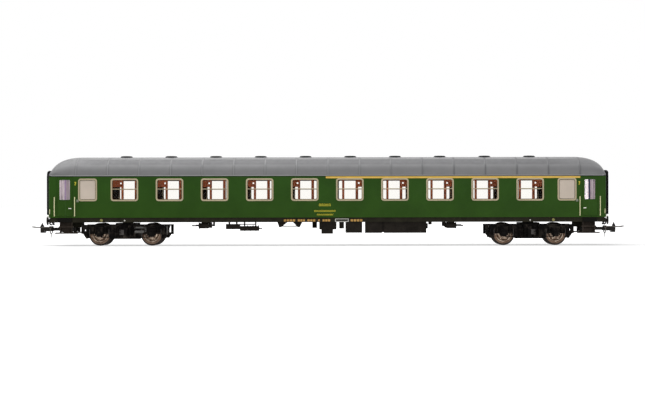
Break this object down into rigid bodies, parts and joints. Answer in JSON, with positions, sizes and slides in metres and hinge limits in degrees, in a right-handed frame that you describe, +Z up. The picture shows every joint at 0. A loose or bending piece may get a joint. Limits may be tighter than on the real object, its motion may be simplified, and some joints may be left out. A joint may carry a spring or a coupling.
{
  "type": "model railway passenger coach",
  "caption": "Long flat-sided model railway coach with compartments and corridor, ribbed grey roof, framed windows, swivelling bogies with turning wheels and loop couplings.",
  "frame": {"origin": "midway along and across the coach, at the lowest point of the wheel flanges", "axes": "+X along the coach towards end 1, +Y towards the corridor side, +Z up"},
  "size_m": [0.3228, 0.0344, 0.0488],
  "materials": {
    "body_green": "satin moulded plastic, green all through with a sprayed coat",
    "roof_grey": "matte mid-grey plastic",
    "vent_grey": "matte grey plastic",
    "frame_cream": "thin printed line in a pale metallic cream",
    "clear_glazing": "clear polished plastic",
    "frosted_glazing": "milky plastic",
    "interior_red": "matte red-brown plastic",
    "seat_brown": "matte brown plastic",
    "ballast_steel": "plain rolled steel strip",
    "chassis_dark": "matte dark brown-black plastic",
    "equipment_dark": "matte dark grey plastic",
    "bogie_black": "matte black plastic",
    "wheel_bronze": "darkened turned metal",
    "axle_steel": "turned steel",
    "rubber_black": "matte black soft plastic",
    "handrail_brass": "cream-painted wire",
    "handle_silver": "printed silver",
    "coupler_black": "black plastic",
    "loop_steel": "blackened metal strip"
  },
  "bodies": {
    "coach": {"body_shell": "body_green", "roof": "roof_grey", "roof_ventilators": "vent_grey", "window_frames": "frame_cream", "window_glass_left": "clear_glazing", "window_glass_right": "clear_glazing", "toilet_panes": "frosted_glazing", "cross_partitions": "interior_red", "corridor_wall": "interior_red", "seats": "seat_brown", "interior_floor": "interior_red", "ballast_plate": "ballast_steel", "underframe": "chassis_dark", "bogie_pivots": "chassis_dark", "coupler_mounts": "chassis_dark", "battery_boxes": "equipment_dark", "transformer": "equipment_dark", "air_reservoirs": "equipment_dark", "brake_cylinders": "equipment_dark", "door_steps": "chassis_dark", "buffers": "bogie_black", "gangway_1": "rubber_black", "gangway_2": "rubber_black", "end_doors": "body_green", "door_handrails": "handrail_brass", "door_handles": "handle_silver"},
    "bogie_1": {"bogie_frame_1": "bogie_black", "bogie_springs_1": "bogie_black", "brake_shoes_1": "bogie_black"},
    "bogie_2": {"bogie_frame_2": "bogie_black", "bogie_springs_2": "bogie_black", "brake_shoes_2": "bogie_black"},
    "wheelset_1": {"axle_1": "axle_steel", "wheels_1": "wheel_bronze"},
    "wheelset_2": {"axle_2": "axle_steel", "wheels_2": "wheel_bronze"},
    "wheelset_3": {"axle_3": "axle_steel", "wheels_3": "wheel_bronze"},
    "wheelset_4": {"axle_4": "axle_steel", "wheels_4": "wheel_bronze"},
    "coupling_1": {"coupler_1": "coupler_black"},
    "coupling_2": {"coupler_2": "coupler_black"},
    "loop_1": {"coupler_loop_1": "loop_steel"},
    "loop_2": {"coupler_loop_2": "loop_steel"}
  },
  "joints": [
    {"name": "bogie_1_swivel", "type": "hinge", "parent": "coach", "child": "bogie_1", "pos_m": [0.1091, 0, 0.0105], "axis": [0, 0, 1], "range_deg": [-12, 12]},
    {"name": "bogie_2_swivel", "type": "hinge", "parent": "coach", "child": "bogie_2", "pos_m": [-0.1091, 0, 0.0105], "axis": [0, 0, 1], "range_deg": [-12, 12]},
    {"name": "wheelset_1_roll", "type": "hinge", "parent": "bogie_1", "child": "wheelset_1", "pos_m": [0.12315, 0, 0.0062], "axis": [0, 1, 0], "continuous": true},
    {"name": "wheelset_2_roll", "type": "hinge", "parent": "bogie_1", "child": "wheelset_2", "pos_m": [0.09505, 0, 0.0062], "axis": [0, 1, 0], "continuous": true},
    {"name": "wheelset_3_roll", "type": "hinge", "parent": "bogie_2", "child": "wheelset_3", "pos_m": [-0.09505, 0, 0.0062], "axis": [0, 1, 0], "continuous": true},
    {"name": "wheelset_4_roll", "type": "hinge", "parent": "bogie_2", "child": "wheelset_4", "pos_m": [-0.12315, 0, 0.0062], "axis": [0, 1, 0], "continuous": true},
    {"name": "coupling_1_swing", "type": "hinge", "parent": "coach", "child": "coupling_1", "pos_m": [0.138, 0, 0.0088], "axis": [0, 0, 1], "range_deg": [-12, 12]},
    {"name": "loop_1_lift", "type": "hinge", "parent": "coupling_1", "child": "loop_1", "pos_m": [0.151, 0, 0.0099], "axis": [0, -1, 0], "range_deg": [0, 25]},
    {"name": "coupling_2_swing", "type": "hinge", "parent": "coach", "child": "coupling_2", "pos_m": [-0.138, 0, 0.0088], "axis": [0, 0, 1], "range_deg": [-12, 12]},
    {"name": "loop_2_lift", "type": "hinge", "parent": "coupling_2", "child": "loop_2", "pos_m": [-0.151, 0, 0.0099], "axis": [0, 1, 0], "range_deg": [0, 25]}
  ]
}
